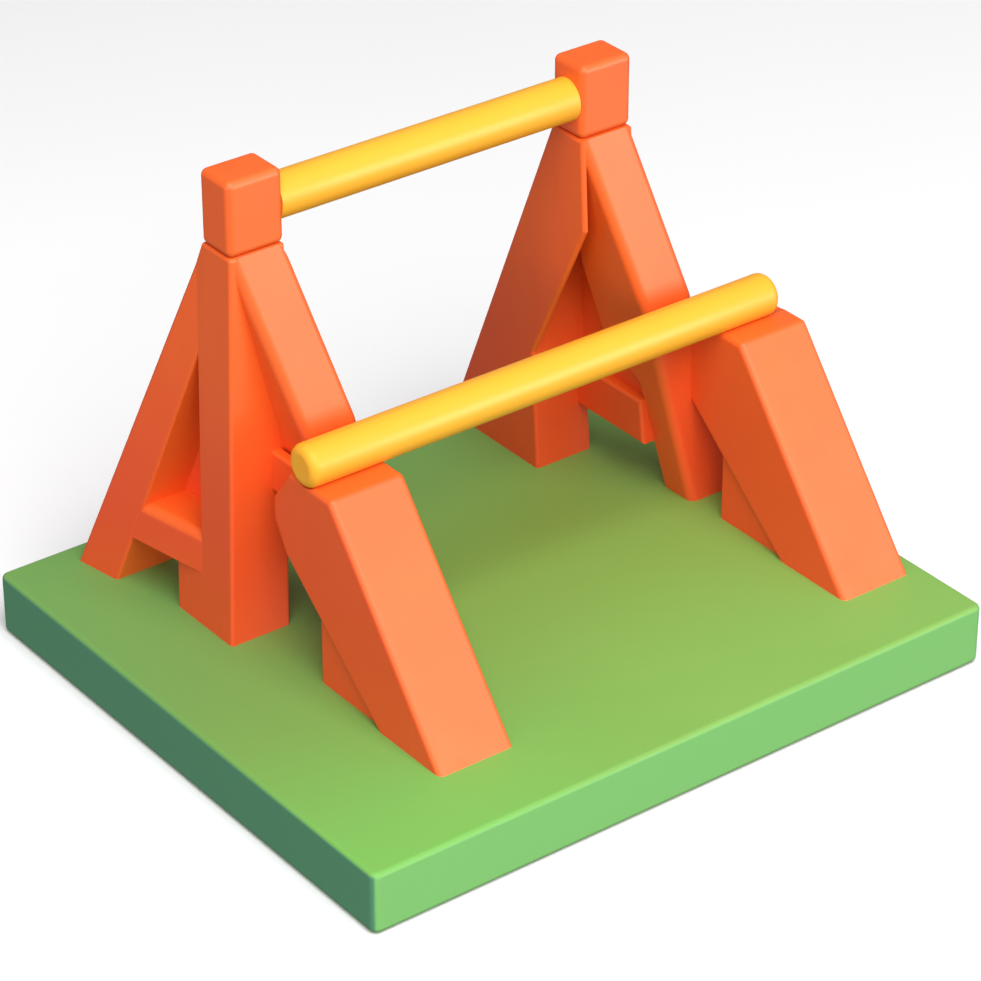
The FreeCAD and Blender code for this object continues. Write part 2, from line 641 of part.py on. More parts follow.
low_rail_dowels = []
for side, x in low_centres.items():
    start = (x, low_rail_y, deck_top + low_rail_height - dowel_length * 1.2)
    low_rail_dowels.append(rod(dowel_diameter, start, Z, dowel_length))
    hole = rod(dowel_diameter + 2 * dowel_clearance, start, Z, dowel_length)
    drill(side + "_low_support", hole)
    drill("low_rail", hole)
group("low_rail_dowels", low_rail_dowels)

# ---------------------------------------------------------------- screws
housing_z = deck_top + housing_screw_height
housing_y = front_leg_back_y(housing_screw_height)
housing_share = height_share(shoulder_height, 0, housing_screw_height)
housing_x = {}
for side, (top, foot) in front_leg_spans.items():
    leg_low = between(top[0], foot[0], housing_share)
    support_low, support_high = span(low_centres[side], low_width)
    housing_x[side] = (max(leg_low, support_low) + min(leg_low + timber_width, support_high)) / 2
housing_screws = []
for side, x in housing_x.items():
    shank = rod(housing_screw_diameter, (x, housing_y, housing_z), -Y, housing_screw_length)
    head_disc = rod(2 * housing_screw_diameter, (x, housing_y + screw_head_height + 0.1, housing_z), -Y,
                    screw_head_height)
    hole = rod(housing_screw_diameter + 2 * dowel_clearance, (x, housing_y + 1, housing_z), -Y,
               housing_screw_length + 1)
    driver_way = rod(2 * housing_screw_diameter + 2 * screw_head_clearance, (x, half_depth, housing_z), -Y,
                     half_depth - housing_y)
    drill(side + "_front_leg", hole, driver_way)
    drill(side + "_low_support", hole)
    housing_screws.append(shank.fuse(rod(housing_screw_diameter, (x, housing_y + 0.2, housing_z), -Y, 1))
                          .fuse(head_disc).removeSplitter())
group("housing_screws", housing_screws)

foot_x = (joist_x["joist_1"], joist_x["joist_4"], joist_x["joist_6"])
feet = []
foot_screws = []
for x in foot_x:
    for y in (-rubber_foot_row_y, rubber_foot_row_y):
        foot = rod(rubber_foot_diameter, (x, y, 0), Z, rubber_foot_thickness)
        rim = [e for e in foot.Edges if e.BoundBox.ZMax < 0.01]
        foot = foot.makeFillet(rubber_foot_edge_radius, rim)
        recess_depth = rubber_foot_thickness - foot_proud
        recess = rod(rubber_foot_diameter + 0.4, (x, y, foot_proud), Z, recess_depth)
        head_z = rubber_foot_thickness / 2 - screw_head_height / 2
        head = rod(screw_head_diameter, (x, y, head_z), Z, screw_head_height)
        mouth = rod(screw_head_diameter + 2 * screw_head_clearance, (x, y, 0), Z, head_z + screw_head_height)
        shank = rod(screw_diameter, (x, y, head_z), Z, joist_bottom + screw_bite - head_z)
        hole = rod(screw_diameter + 0.2, (x, y, 0), Z, joist_bottom + screw_bite)
        feet.append(foot.cut(mouth).cut(hole))
        drill("bottom_panel", recess, hole)
        for name in ("joist_1", "joist_4", "joist_6"):
            if abs(joist_x[name] - x) < 0.01:
                drill(name, hole)
        foot_screws.append(head.fuse(shank).removeSplitter())
group("rubber_feet", feet)
group("foot_screws", foot_screws)

panel_screws = []
for name, x in joist_x.items():
    for y in (-panel_screw_row_y, panel_screw_row_y):
        head = rod(screw_head_diameter, (x, y, foot_proud), Z, screw_head_height)
        shank = rod(screw_diameter, (x, y, foot_proud), Z, bottom_panel_thickness + screw_bite)
        mouth = rod(screw_head_diameter + 2 * screw_head_clearance, (x, y, foot_proud), Z, screw_head_height)
        hole = rod(screw_diameter + 0.2, (x, y, foot_proud), Z, bottom_panel_thickness + screw_bite)
        drill("bottom_panel", mouth, hole)
        drill(name, hole)
        panel_screws.append(head.fuse(shank).removeSplitter())
group("panel_screws", panel_screws)

# ---------------------------------------------------------------- export
os.makedirs("parts", exist_ok=True)
for name, shape in nodes.items():
    shape.exportStep("parts/" + name + ".step")
    box = shape.BoundBox
    print("%-20s solids %2d  volume %9.0f  x %.0f..%.0f  y %.0f..%.0f  z %.0f..%.0f" % (
        name, len(shape.Solids), shape.Volume, box.XMin, box.XMax, box.YMin, box.YMax, box.ZMin, box.ZMax))
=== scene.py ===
# %% [markdown]
# # Small uneven parallel bars
#
# The stand is painted timber: a green base, orange frames and two yellow rails. The solid shapes
# come in ready made, with every board in its place, so this lesson is mostly about finishes: how
# paint lies on wood, how one board is sawn flush, and how soft studio light shows them. Lengths
# are in metres, +Z is up, and the rails run along X.

import math

import bmesh
import bpy
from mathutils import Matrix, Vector


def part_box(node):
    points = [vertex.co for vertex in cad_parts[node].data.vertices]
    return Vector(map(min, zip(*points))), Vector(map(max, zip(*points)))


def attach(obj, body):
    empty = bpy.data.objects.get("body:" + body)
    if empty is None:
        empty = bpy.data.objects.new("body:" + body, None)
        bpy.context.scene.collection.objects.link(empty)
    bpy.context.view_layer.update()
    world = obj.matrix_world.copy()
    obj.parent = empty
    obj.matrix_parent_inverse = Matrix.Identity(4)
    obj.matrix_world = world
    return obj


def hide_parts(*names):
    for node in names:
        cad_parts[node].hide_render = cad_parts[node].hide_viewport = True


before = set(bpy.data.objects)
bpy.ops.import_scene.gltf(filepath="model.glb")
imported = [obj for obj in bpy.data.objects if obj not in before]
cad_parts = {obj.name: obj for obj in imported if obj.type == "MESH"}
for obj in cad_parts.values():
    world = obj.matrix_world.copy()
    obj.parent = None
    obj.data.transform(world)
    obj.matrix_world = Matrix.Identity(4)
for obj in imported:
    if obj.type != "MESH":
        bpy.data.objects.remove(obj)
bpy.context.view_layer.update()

# %% [markdown]
# ## Measures used all through
#
# A board's place is inside its mesh, so its object says nothing about where it stands. Each
# measure below is read from the box round a piece instead of being typed in, so that it stays
# right if the stand is built in another size. The height of the deck matters most: every leg ends
# there, and the camera aims a little above it.

# %% Measures
deck_low, deck_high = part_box("deck_panel")
deck_top = deck_high.z
shoulder_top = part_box("left_post")[1].z
print("deck top at", round(deck_top, 4), "m, shoulders at", round(shoulder_top, 4), "m")

# %% [markdown]
# ## Writing a finish as a sum
#
# Blender mixes a finish from nodes. They can be wired one by one in the editor, but dozens of
# Math nodes wired in a script are hard to read, so a small class wraps one socket and lets
# + - * / stand for the nodes. Colours never go through these operators, because a Math node turns
# a colour grey.

# %% Values in a finish
def feed(tree, socket, value):
    """Puts a number, a colour or another value's link into a socket."""
    if isinstance(value, Value):
        tree.links.new(value.socket, socket)
    else:
        socket.default_value = value


class Value:
    """One output socket that can be added, subtracted, multiplied and divided like a number."""

    def __init__(self, tree, socket):
        self.tree = tree
        self.socket = socket

    def sum_up(self, operation, first, second):
        """Adds the Math node that an operator stands for."""
        node = self.tree.nodes.new("ShaderNodeMath")
        node.operation = operation
        for socket, value in zip(node.inputs, (first, second)):
            feed(self.tree, socket, value)
        return Value(self.tree, node.outputs[0])

    def __add__(self, other):
        return self.sum_up("ADD", self, other)

    def __radd__(self, other):
        return self.sum_up("ADD", other, self)

    def __sub__(self, other):
        return self.sum_up("SUBTRACT", self, other)

    def __rsub__(self, other):
        return self.sum_up("SUBTRACT", other, self)

    def __mul__(self, other):
        return self.sum_up("MULTIPLY", self, other)

    def __rmul__(self, other):
        return self.sum_up("MULTIPLY", other, self)

    def __truediv__(self, other):
        return self.sum_up("DIVIDE", self, other)

    def __rtruediv__(self, other):
        return self.sum_up("DIVIDE", other, self)


print("a value understands + - * and /")

# %% [markdown]
# A finish is one material. It knows where each point of a board is, and it has one method that
# adds any node: the settings go on first, then the numbers and links of its sockets. Object
# coordinates are used all through, because they are metres on the board itself and need no
# unwrapping.

# %% A finish
class Recipe:
    """A material under construction."""

    def __init__(self, name):
        self.material = bpy.data.materials.new(name)
        self.material.use_nodes = True
        self.tree = self.material.node_tree
        self.tree.nodes.clear()
        self.place = self.node("ShaderNodeTexCoord", out="Object")

    def node(self, kind, settings=None, out=0, **sockets):
        """Adds a node. Sockets go by name, with _ for a space, or by place, with i before it."""
        node = self.tree.nodes.new(kind)
        for key, value in (settings or {}).items():
            setattr(node, key, value)
        for key, value in sockets.items():
            index = int(key[1:]) if key[0] == "i" and key[1:].isdigit() else key.replace("_", " ")
            feed(self.tree, node.inputs[index], value)
        return Value(self.tree, node.outputs[out]) if node.outputs else None

    def finish(self, colour, roughness, relief, depth, strength=1.0, **gloss):
        """Ends the material: a relief of the given depth in metres, under one surface shader."""
        bump = self.node("ShaderNodeBump", Height=relief, Distance=depth, Strength=strength)
        shader = self.node("ShaderNodeBsdfPrincipled", Base_Color=colour, Roughness=roughness,
                           Normal=bump, **gloss)
        self.node("ShaderNodeOutputMaterial", Surface=shader)
        return self.material


print("a recipe starts from Object coordinates and ends with one surface shader")

# %% [markdown]
# The same few steps come back in every finish: turn the coordinates along the grain, add noise,
# make a soft step, blend two colours and ask which way a face points. Each could be written out
# in full where it is needed, but as short methods they let a finish read like a painter's notes.

# %% Steps of a finish
class Finish(Recipe):
    """A recipe that knows the usual steps."""

    def turned(self, turn=(0, 0, 0), scale=(1, 1, 1)):
        """Object coordinates, turned so that X runs along the grain, then stretched."""
        upright = self.node("ShaderNodeMapping", {"vector_type": "TEXTURE"},
                            Vector=self.place, Rotation=turn)
        return self.node("ShaderNodeMapping", Vector=upright, Scale=scale)

    def noise(self, place, scale, detail=2.0, roughness=0.5):
        """Soft random spots, with a value from 0 to 1."""
        return self.node("ShaderNodeTexNoise", Vector=place, Scale=scale, Detail=detail,
                         Roughness=roughness)

    def smooth(self, value, low, high, to_low=0.0, to_high=1.0):
        """A gentle step from to_low to to_high, while the value goes from low to high."""
        return self.node("ShaderNodeMapRange", {"interpolation_type": "SMOOTHSTEP"}, Value=value,
                         From_Min=low, From_Max=high, To_Min=to_low, To_Max=to_high)

    def blend(self, share, first, second):
        """Mixes two colours by a share."""
        return self.node("ShaderNodeMix", {"data_type": "RGBA"}, out=2,
                         i0=share, i6=first, i7=second)

    def unsigned(self, value):
        """A value without its sign."""
        return self.node("ShaderNodeMath", {"operation": "ABSOLUTE"}, i0=value)

    def split(self, vector):
        """The X, Y and Z of a vector, each as a value."""
        parts = self.node("ShaderNodeSeparateXYZ", Vector=vector).socket.node.outputs
        return [Value(self.tree, part) for part in parts]

    def facing(self):
        """How far a face looks along X, Y and Z, each as a value from 0 to 1."""
        normal = self.node("ShaderNodeNewGeometry", out="True Normal")
        return [self.unsigned(part) for part in self.split(normal)]


print("steps of a finish:", [step for step in vars(Finish) if not step.startswith("_")])

# %% [markdown]
# A ready-made piece comes with a plain stand-in material, and its finish takes that one's place.
# The stand-in could be rebuilt where it is, but swapping it lets many boards share one finish. The
# names of the dressed pieces are kept, so that a forgotten one can be found at the end. Grain and
# brush strokes run along a board, so a board that lies across the stand and one that stands
# upright each need the pattern turned.

# %% Dress a piece
LENGTHWAYS = (0, 0, 0)
ACROSS = (0, 0, math.pi / 2)
STANDING = (0, -math.pi / 2, 0)
dressed = set()


def dress(node_name, material):
    """Gives a ready-made piece its finish."""
    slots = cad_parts[node_name].data.materials
    slots.clear()
    slots.append(material)
    dressed.add(node_name)


print("pieces to dress:", len(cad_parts))

# %% [markdown]
# ## Satin paint on timber
#
# Brushed paint is nearly even, and four small things stop it from looking like plastic. The
# colour drifts a little over a hand's width, where the coat is thicker. Fine strokes run along
# the board. Upright faces carry painted shade: their colour is made darker and redder low down.
# Near the deck, shoes and dust have taken off some of the gloss.
#
# A painted picture could be wrapped round each board, but noise needs no wrapping and fits a board
# of any length. Each board gets its own copy, because the strokes follow its length. The surface
# reflects more than the usual share of light, which gives satin paint its pale sheen on slopes.

# %% Paint for the frames
ORANGE = (0.83, 0.108, 0.008, 1)
ORANGE_THICK = (0.81, 0.101, 0.007, 1)
ORANGE_THIN = (0.85, 0.118, 0.010, 1)
# The next colour is painted shade, a darker and redder orange for upright faces near the deck.
ORANGE_PAINTED_SHADE = (0.80, 0.072, 0.011, 1)
STROKES_PER_METRE = (14, 900, 900)
PATCHES_PER_METRE = (7, 40, 40)
PEEL_PER_METRE = 420.0
DRIFT_PER_METRE = 9.0
STROKE_DEPTH = 0.00012
# Painted shade on upright faces fades in between these two heights.
PAINTED_SHADE_START, PAINTED_SHADE_FULL = deck_top + 0.34, deck_top + 0.05
SCUFF_TOP = deck_top + 0.06


def frame_paint(name, turn):
    """Brushed orange paint, with its strokes along a board that is turned like this."""
    paint = Finish(name)
    strokes = paint.noise(paint.turned(turn, STROKES_PER_METRE), 1.0, 3.0, 0.55)
    peel = paint.noise(paint.place, PEEL_PER_METRE, 1.0)
    drift = paint.noise(paint.place, DRIFT_PER_METRE, 2.0, 0.45)
    patch = paint.noise(paint.turned(turn, PATCHES_PER_METRE), 1.0, 2.0)
    colour = paint.blend(paint.smooth(drift, 0.35, 0.65), ORANGE_THIN, ORANGE)
    colour = paint.blend(paint.smooth(patch, 0.45, 0.8) * 0.5, colour, ORANGE_THICK)
    height = paint.split(paint.place)[2]
    to_sky = paint.facing()[2]
    # Painted shade: upright faces are made darker and redder towards the deck.
    upright = paint.smooth(to_sky, 0.1, 0.4, 1.0, 0.0)
    painted_shade_low = paint.smooth(height, PAINTED_SHADE_FULL, PAINTED_SHADE_START, 1.0, 0.0)
    colour = paint.blend(upright * painted_shade_low, colour, ORANGE_PAINTED_SHADE)
    near_deck = paint.smooth(height, deck_top, SCUFF_TOP, 1.0, 0.0)
    scuffed = near_deck * paint.smooth(patch, 0.3, 0.6)
    roughness = 0.49 + 0.08 * strokes + 0.08 * scuffed
    relief = strokes * 0.7 + peel * 0.3
    return paint.finish(colour, roughness, relief, STROKE_DEPTH, 0.55, Specular_IOR_Level=1.0)


print("orange paint is ready, redder below", round(PAINTED_SHADE_START, 3), "m")

# %% [markdown]
# The turn of a board is the angle of its length. It could be typed in for each leg, but it is
# worked out from the board's own box, so it stays right when a leg changes: an upright stands on
# Z, and a sloped leg leans back or forward by its box's depth over its height.

# %% Dress the frames
def lean_of(node_name, sign):
    """The turn that lays X along a board: sign is 1 to lean back, -1 forward and 0 upright."""
    low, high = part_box(node_name)
    size = high - low
    lean = sign * math.atan2(size.y, size.z)
    return (lean, *STANDING[1:])


BOARD_LEANS = {
    "left_post": 0, "left_back_leg": 1, "left_front_leg": -1,
    "right_back_leg": 1, "right_front_leg": -1,
    "left_low_support": -1, "right_low_support": -1,
    "left_low_heel": 0, "right_low_heel": 0,
    "left_head_block": 0, "right_head_block": 0, "left_web_panel": 0,
}
CROSS_BOARDS = ("left_crossbar", "right_crossbar", "tie_block")
for node_name, sign in BOARD_LEANS.items():
    dress(node_name, frame_paint("orange_" + node_name, lean_of(node_name, sign)))
for node_name in CROSS_BOARDS:
    dress(node_name, frame_paint("orange_" + node_name, ACROSS))
print("painted", len(BOARD_LEANS) + len(CROSS_BOARDS), "orange boards")

# %% [markdown]
# ## Trim the right web panel
#
# The panel behind the right front leg is a lapped board, and its square corner would stand out
# behind the slope of the back leg. A joiner saws that corner off flush once the board is on. The
# saw follows the rear face of the leg, from the rear of the head block down to the leg's foot.
#
# The board could be drawn again from its corners, but a plane that bisects a copy of it keeps the
# other sides exactly as they are. A ready-made board is a set of loose triangles, so the copy's
# doubled corners are merged first, and the cut can then be closed with one face.

# %% A sawn corner
MERGE_DISTANCE = 1e-6
SAW_INSET = 0.006


def sawn_flush(node_name, upper, lower, piece_name):
    """A copy of a board, cut off behind the slope that runs through two points of the YZ plane."""
    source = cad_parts[node_name]
    board = bmesh.new()
    board.from_mesh(source.data)
    board.transform(source.matrix_world)
    bmesh.ops.remove_doubles(board, verts=board.verts[:], dist=MERGE_DISTANCE)
    slope = upper - lower
    out = Vector((0, slope.z, -slope.y)).normalized()
    every_part = board.verts[:] + board.edges[:] + board.faces[:]
    cut = bmesh.ops.bisect_plane(board, geom=every_part, dist=MERGE_DISTANCE, plane_co=upper,
                                 plane_no=out, clear_outer=True)
    rim = [part for part in cut["geom_cut"] if isinstance(part, bmesh.types.BMEdge)]
    bmesh.ops.edgeloop_fill(board, edges=rim)
    bmesh.ops.recalc_face_normals(board, faces=board.faces[:])
    print(piece_name, "holds", round(board.calc_volume() * 1e6), "cubic centimetres, open edges:",
          sum(not edge.is_manifold for edge in board.edges))
    mesh = bpy.data.meshes.new(piece_name)
    board.to_mesh(mesh)
    board.free()
    piece = bpy.data.objects.new(piece_name, mesh)
    bpy.context.scene.collection.objects.link(piece)
    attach(piece, "stand")
    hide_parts(node_name)
    return piece


head_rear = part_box("right_head_block")[1].y
foot_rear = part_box("right_back_leg")[1].y
web = sawn_flush("right_web_panel", Vector((0, head_rear - SAW_INSET, shoulder_top)),
                 Vector((0, foot_rear - SAW_INSET, deck_top)), "right_web_sawn")
web.data.materials.append(frame_paint("orange_right_web_sawn", STANDING))
print("the sawn panel has", len(web.data.polygons), "faces")

# %% [markdown]
# ## The green base
#
# A deck is painted with a roller, which leaves a fine even stipple and no strokes, and soles have
# rubbed it a little paler in patches. Light and shade are painted on as well: the left end is
# lighter and greener, the back darker, and behind the left frame a cool painted shadow. The long
# edges carry painted light and the two ends a darker, bluer painted shade, so the colour follows
# the way each face points. Each board could have a colour of its own instead, but these tones meet
# on one board, at the rounded edge of the deck, and the normal puts the step between them there.

# %% Paint for the base
GREEN = (0.180, 0.384, 0.080, 1)
GREEN_RUBBED = (0.198, 0.402, 0.088, 1)
# The next five colours are painted light and shade: darker at the back, a cool shadow behind the
# left frame, lighter on the left, lighter long edges and darker, bluer ends.
GREEN_PAINTED_SHADE = (0.178, 0.312, 0.058, 1)
GREEN_PAINTED_SHADOW = (0.138, 0.310, 0.079, 1)
GREEN_PAINTED_LIGHT = (0.160, 0.425, 0.088, 1)
SIDE_GREEN_PAINTED_LIGHT = (0.184, 0.486, 0.148, 1)
END_TEAL_PAINTED_SHADE = (0.073, 0.250, 0.142, 1)
STIPPLE_PER_METRE = 260.0
RUBBED_PER_METRE = 4.5
STIPPLE_DEPTH = 0.00025


def base_paint(name):
    """Rolled green paint, with light and shade painted on the deck and on its edges."""
    paint = Finish(name)
    stipple = paint.noise(paint.place, STIPPLE_PER_METRE, 3.0, 0.6)
    rubbed = paint.noise(paint.place, RUBBED_PER_METRE, 3.0, 0.5)
    to_end, to_side, to_sky = paint.facing()
    x, y, _ = paint.split(paint.place)
    # Painted shade grows towards the back and is coolest behind the left frame, and the left end
    # is painted lighter.
    back = paint.smooth(y, deck_low.y, deck_high.y * 0.25)
    left = paint.smooth(x, deck_low.x, 0.0, 1.0, 0.0)
    rear_half = paint.smooth(y, 0.0, deck_high.y, 0.0, 0.9)
    painted_shadow_share = back * (left + rear_half * (1.0 - left))
    colour = paint.blend(paint.smooth(rubbed, 0.3, 0.7), GREEN, GREEN_RUBBED)
    colour = paint.blend(left * 1.4, colour, GREEN_PAINTED_LIGHT)
    colour = paint.blend(back, colour, GREEN_PAINTED_SHADE)
    colour = paint.blend(painted_shadow_share, colour, GREEN_PAINTED_SHADOW)
    # Painted light on the long edges and painted shade on the two ends, chosen by the way each
    # face points.
    edge_colour = paint.blend(paint.smooth(to_end - to_side, -0.3, 0.3), SIDE_GREEN_PAINTED_LIGHT, END_TEAL_PAINTED_SHADE)
    colour = paint.blend(paint.smooth(to_sky, 0.2, 0.7), edge_colour, colour)
    roughness = 0.52 + 0.10 * stipple + 0.05 * rubbed
    return paint.finish(colour, roughness, stipple, STIPPLE_DEPTH, 0.45)


BASE_BOARDS = ("deck_panel", "front_side_board", "rear_side_board",
               "left_end_board", "right_end_board")
green = base_paint("green_roller_paint")
for node_name in BASE_BOARDS:
    dress(node_name, green)
print("rolled green paint on", len(BASE_BOARDS), "boards")

# %% [markdown]
# ## Yellow rails
#
# A rail is turned on a lathe, then lacquered. Hands polish the middle of it and leave the ends
# duller. The tool marks run round the bar. They could be cut as grooves, but they are far finer
# than any mesh, so a noise that is squeezed along X stands for them in the bump.

# %% Lacquer for the rails
YELLOW = (0.88, 0.408, 0.028, 1)
YELLOW_WORN = (0.90, 0.432, 0.036, 1)
RINGS_PER_METRE = (700, 10, 10)
WEAR_PER_METRE = (9, 25, 25)
RAIL_PEEL_PER_METRE = 300.0
RING_DEPTH = 0.0001


def rail_lacquer(node_name):
    """Yellow lacquer that is worn and shiny round the middle of a rail."""
    low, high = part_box(node_name)
    paint = Finish("yellow_" + node_name)
    rings = paint.noise(paint.turned(scale=RINGS_PER_METRE), 1.0, 2.0)
    peel = paint.noise(paint.place, RAIL_PEEL_PER_METRE, 2.0)
    wear = paint.noise(paint.turned(scale=WEAR_PER_METRE), 1.0, 2.0)
    along = paint.split(paint.place)[0]
    middle = (low.x + high.x) / 2
    reach = (high.x - low.x) / 2
    from_middle = paint.unsigned((along - middle) / reach)
    handled = paint.smooth(from_middle, 0.45, 0.95, 1.0, 0.0)
    worn = paint.node("ShaderNodeClamp", Value=handled * wear)
    colour = paint.blend(worn, YELLOW, YELLOW_WORN)
    roughness = 0.42 + 0.10 * peel - 0.08 * handled
    return paint.finish(colour, roughness, rings * 0.5 + peel * 0.5, RING_DEPTH, 0.4)


for node_name in ("low_rail", "high_rail"):
    dress(node_name, rail_lacquer(node_name))
    print("lacquered", node_name)

# %% [markdown]
# ## Bare wood, metal, plastic and rubber
#
# What the paint hides still has its own finish. Bare timber shows growth rings cut lengthways.
# A wave pattern gives the rings, and it is bent by noise and stretched along the board, because
# straight bands alone would look printed.

# %% Bare timber
PINE = (0.60, 0.40, 0.20, 1)
PINE_LATE = (0.40, 0.22, 0.09, 1)
GRAIN_PER_METRE = (1.6, 26, 26)
PORES_PER_METRE = (60, 1800, 1800)
PORE_DEPTH = 0.0002
JOISTS = [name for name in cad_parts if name.startswith("joist_")]


def bare_timber(name, turn):
    """Unpainted wood, with its grain along a board that is turned like this."""
    wood = Finish(name)
    along = wood.turned(turn, GRAIN_PER_METRE)
    bend = wood.noise(along, 1.0, 3.0, 0.5)
    bands = wood.node("ShaderNodeTexWave", {"bands_direction": "Y"}, out="Fac", Vector=along,
                      Scale=1.4, Distortion=5.0, Detail=3.0, Detail_Scale=1.2)
    pores = wood.noise(wood.turned(turn, PORES_PER_METRE), 1.0, 2.0)
    rings = wood.smooth(bands * 0.75 + bend * 0.25, 0.35, 0.85)
    colour = wood.blend(rings * 0.7 + pores * 0.2, PINE, PINE_LATE)
    relief = pores * 0.6 + rings * 0.4
    return wood.finish(colour, 0.62 + 0.12 * pores, relief, PORE_DEPTH, 0.5)


pine_across = bare_timber("bare_pine_joist", ACROSS)
for node_name in JOISTS:
    dress(node_name, pine_across)
dress("bottom_panel", bare_timber("bare_ply_panel", LENGTHWAYS))
dress("frame_dowels", bare_timber("bare_beech_dowel", ACROSS))
dress("low_rail_dowels", bare_timber("bare_beech_dowel_upright", STANDING))
print("bare timber on", len(JOISTS), "joists, the bottom panel and the dowels")

# %% [markdown]
# Turned metal has rings round its axis. Zinc plate is a cool grey with a faint milky bloom, and
# bronze is warm and a little darker where it has been handled. One recipe does for both, with the
# noise squeezed along the axis of the piece, so a pin that lies and a stem that stands differ only
# in the way they are squeezed.

# %% Metal
ZINC = (0.56, 0.57, 0.58, 1)
ZINC_DULL = (0.40, 0.41, 0.43, 1)
BRONZE = (0.66, 0.42, 0.18, 1)
BRONZE_DARK = (0.42, 0.24, 0.09, 1)
BLOOM_PER_METRE = 90.0
TURNING_DEPTH = 0.00006


def turned_metal(name, bright, dull, rings_per_metre, rough):
    """Metal with fine rings from the lathe."""
    metal = Finish(name)
    rings = metal.noise(metal.turned(scale=rings_per_metre), 1.0, 2.0)
    bloom = metal.noise(metal.place, BLOOM_PER_METRE, 3.0, 0.6)
    colour = metal.blend(metal.smooth(bloom, 0.4, 0.75), bright, dull)
    roughness = rough + 0.18 * bloom + 0.08 * rings
    return metal.finish(colour, roughness, rings, TURNING_DEPTH, 0.5, Metallic=1.0)


zinc_upright = turned_metal("zinc_upright", ZINC, ZINC_DULL, (60, 60, 4000), 0.22)
zinc_through = turned_metal("zinc_through", ZINC, ZINC_DULL, (60, 4000, 60), 0.24)
bronze = turned_metal("bronze_turned", BRONZE, BRONZE_DARK, (60, 60, 3000), 0.28)
METAL_PIECES = {
    "left_stem": zinc_upright, "right_stem": zinc_upright, "frame_bolts": zinc_upright,
    "foot_screws": zinc_upright, "panel_screws": zinc_upright,
    "left_clamp_stud": zinc_through, "right_clamp_stud": zinc_through,
    "rail_pins": zinc_through, "stem_pins": zinc_through, "housing_screws": zinc_through,
    "left_guide_bush": bronze, "right_guide_bush": bronze,
    "clamp_nuts": bronze, "threaded_inserts": bronze,
}
for node_name, metal in METAL_PIECES.items():
    dress(node_name, metal)
print("metal on", len(METAL_PIECES), "pieces")

# %% [markdown]
# Moulded plastic copies the spark-eroded face of its mould, a fine leathery grain. Rubber is
# duller and picks up grey dust. Both are nearly black, so it is the dust and the uneven gloss that
# show their shape, and a plain black would look like a hole. These are the last pieces, so the
# only one still undressed is the board that the sawn one stands in for.

# %% Plastic and rubber
BLACK_PLASTIC = (0.018, 0.018, 0.019, 1)
PLASTIC_DUST = (0.06, 0.058, 0.055, 1)
BLACK_RUBBER = (0.022, 0.022, 0.022, 1)
RUBBER_DUST = (0.10, 0.095, 0.085, 1)
DUST_PER_METRE = 60.0


def moulded(name, colour, dusty, bumps_per_metre, rough, depth):
    """A moulded skin with fine bumps of the given depth in metres."""
    skin = Finish(name)
    bumps = skin.noise(skin.place, bumps_per_metre, 2.0, 0.6)
    dust = skin.noise(skin.place, DUST_PER_METRE, 3.0, 0.6)
    tint = skin.blend(skin.smooth(dust, 0.45, 0.8) * 0.6, colour, dusty)
    return skin.finish(tint, rough + 0.15 * dust, bumps, depth, 0.6)


knob_skin = moulded("black_moulded_knob", BLACK_PLASTIC, PLASTIC_DUST, 1400, 0.42, 0.00008)
dress("left_clamp_knob", knob_skin)
dress("right_clamp_knob", knob_skin)
dress("rubber_feet", moulded("foot_rubber", BLACK_RUBBER, RUBBER_DUST, 700, 0.68, 0.0002))
print("pieces still undressed:", sorted(set(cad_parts) - dressed))

# %% [markdown]
# ## The studio
#
# The floor is a sheet of pale paper, much larger than the stand, so its end is out of view. It
# could be curved up into a backdrop, but seen from above a flat sheet fills the view. It throws no
# light back on the stand: a sheet as wide as this one would lift the shade on the sides of the
# legs, and that soft shade is what shows their shape.

# %% Floor and sky
FLOOR_HALF_WIDTH = 14
PAPER = (0.86, 0.868, 0.925, 1)
PAPER_LIGHT = (0.88, 0.888, 0.945, 1)
SKY_COLOUR = (1.0, 0.97, 0.93, 1)
SKY_STRENGTH = 0.25


def pale_floor():
    """A sheet of paper for the stand to be shown on."""
    mesh = bpy.data.meshes.new("studio_floor")
    floor = bmesh.new()
    bmesh.ops.create_grid(floor, x_segments=8, y_segments=8, size=FLOOR_HALF_WIDTH)
    floor.to_mesh(mesh)
    floor.free()
    plane = bpy.data.objects.new("studio_floor", mesh)
    bpy.context.scene.collection.objects.link(plane)
    paper = Finish("pale_floor")
    mottled = paper.noise(paper.place, 1.5, 2.0)
    tone = paper.blend(mottled, PAPER, PAPER_LIGHT)
    plane.data.materials.append(paper.finish(tone, 0.85, mottled, 0.0001))
    plane.visible_diffuse = False
    plane.visible_glossy = False


pale_floor()
world = bpy.data.worlds.new("studio_sky")
world.use_nodes = True
sky = world.node_tree.nodes["Background"]
sky.inputs["Color"].default_value = SKY_COLOUR
sky.inputs["Strength"].default_value = SKY_STRENGTH
bpy.context.scene.world = world
print("the floor is", 2 * FLOOR_HALF_WIDTH, "m wide and the sky's strength is", SKY_STRENGTH)

# %% [markdown]
# One broad light stands in front and above, so every sloped leg is bright and its side is in soft
# shade. It is hung as two discs in one place, and only one of them is reflected, so the rounded
# edges don't shine too much. Weaker lights low on the left and beside the camera keep the sides
# and the hollows of the frames from going black. Two low discs at the front right light the
# slopes, and the one that is only reflected gives them their sheen.
#
# A sun lamp would light the stand with one setting, but its shadows are hard, and broad discs give
# the soft shade of a studio.

# %% Lights
STAND_MIDDLE = Vector((0, 0, deck_top + 0.15))
ABOVE_FRONT = Vector((-1.2, -3.65, 5.85))
LOW_LEFT = Vector((-3.8, -1.4, 1.1))
BESIDE_CAMERA = Vector((-2.3, -3.4, 0.9))
LOW_FRONT_RIGHT = Vector((2.15, -3.5, 0.75))
KEY_COLOUR = (1.0, 0.99, 0.94)


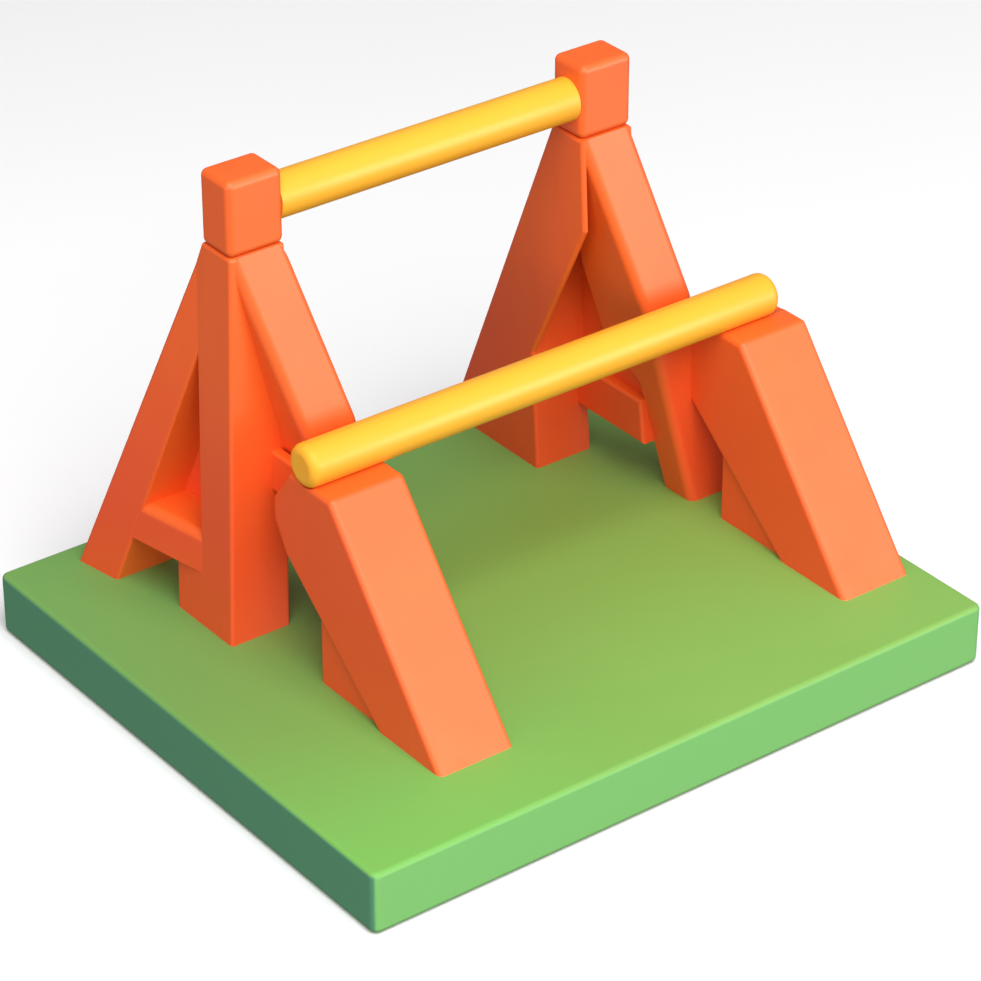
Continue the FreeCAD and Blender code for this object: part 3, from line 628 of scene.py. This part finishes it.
def soft_light(name, place, size, power, colour):
    """A round lamp that shines on the middle of the stand: size in metres, power in watts."""
    lamp = bpy.data.lights.new(name, "AREA")
    lamp.shape = "DISK"
    lamp.size = size
    lamp.energy = power
    lamp.color = colour
    holder = bpy.data.objects.new(name, lamp)
    holder.location = place
    holder.rotation_euler = (STAND_MIDDLE - place).to_track_quat("-Z", "Y").to_euler()
    bpy.context.scene.collection.objects.link(holder)
    return holder


soft_light("key_light", ABOVE_FRONT, 6.0, 370, KEY_COLOUR)
soft_light("matte_key_light", ABOVE_FRONT, 6.0, 370, KEY_COLOUR).visible_glossy = False
soft_light("left_fill", LOW_LEFT, 2.4, 32, (1.0, 0.95, 0.88))
soft_light("front_fill", LOW_FRONT_RIGHT, 2.6, 39, (1.0, 1.0, 0.78))
soft_light("near_fill", BESIDE_CAMERA, 2.6, 40, (1.0, 0.97, 0.82)).visible_glossy = False
soft_light("front_sheen", LOW_FRONT_RIGHT, 2.6, 93, (1.0, 1.0, 0.80)).visible_diffuse = False
print("lamps:", [lamp.name for lamp in bpy.data.lights])

# %% [markdown]
# ## The camera
#
# The view is from the front left, looking down by about thirty degrees. A short lens close by
# would make the near frame look much larger than the far one, so a long lens stands nearly four
# metres away and keeps them close to the same size.

# %% Camera
FOCAL_LENGTH_MM = 144.9
SENSOR_WIDTH_MM = 36
CAMERA_PLACE = Vector((-1.9453, -2.5574, deck_top + 2.0402))
CAMERA_AIM = Vector((-0.0065, -0.0126, deck_top + 0.1188))
BEYOND_THE_FLOOR = 60

lens = bpy.data.cameras.new("camera")
lens.lens = FOCAL_LENGTH_MM
lens.sensor_width = SENSOR_WIDTH_MM
lens.clip_end = BEYOND_THE_FLOOR
eye = bpy.data.objects.new("camera", lens)
eye.location = CAMERA_PLACE
eye.rotation_euler = (CAMERA_AIM - CAMERA_PLACE).to_track_quat("-Z", "Y").to_euler()
bpy.context.scene.collection.objects.link(eye)
bpy.context.scene.camera = eye
bpy.context.scene.view_settings.view_transform = "Standard"
look_down = math.asin((CAMERA_PLACE - CAMERA_AIM).normalized().z)
print("camera looks down by", round(math.degrees(look_down), 1), "degrees")

# %% [markdown]
